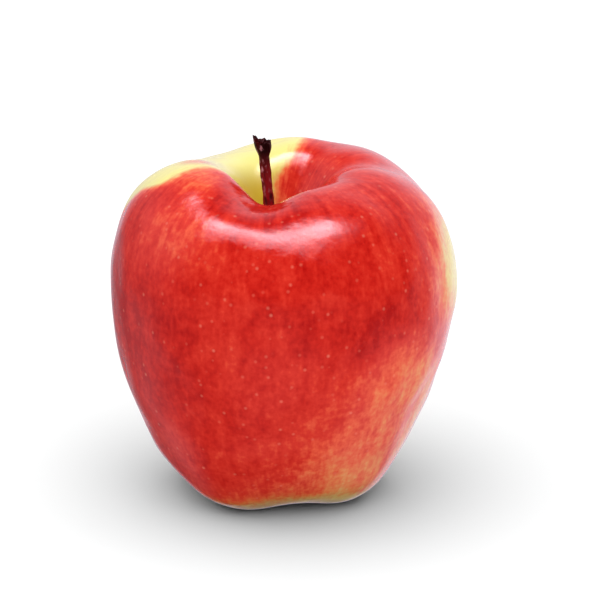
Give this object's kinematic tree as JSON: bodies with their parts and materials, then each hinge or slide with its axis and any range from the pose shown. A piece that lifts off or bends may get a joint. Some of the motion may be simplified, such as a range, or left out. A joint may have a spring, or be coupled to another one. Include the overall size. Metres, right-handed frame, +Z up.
{
  "type": "apple",
  "caption": "Whole upright apple with a stalk in a deep off-centre hollow, lobed shoulders and a lobed foot, crimson over yellow skin.",
  "frame": {"origin": "middle of the footprint of the whole object's box, on the surface that the fruit stands on", "axes": "+Z up along the fruit's core, -Y towards the shown side, +X to that side's right"},
  "size_m": [0.0781, 0.0776, 0.0838],
  "materials": {
    "skin": "satin",
    "bark": "matte",
    "husk": "matte"
  },
  "bodies": {
    "root": {"fruit": "skin", "stalk": "bark", "calyx": "husk"}
  },
  "joints": []
}
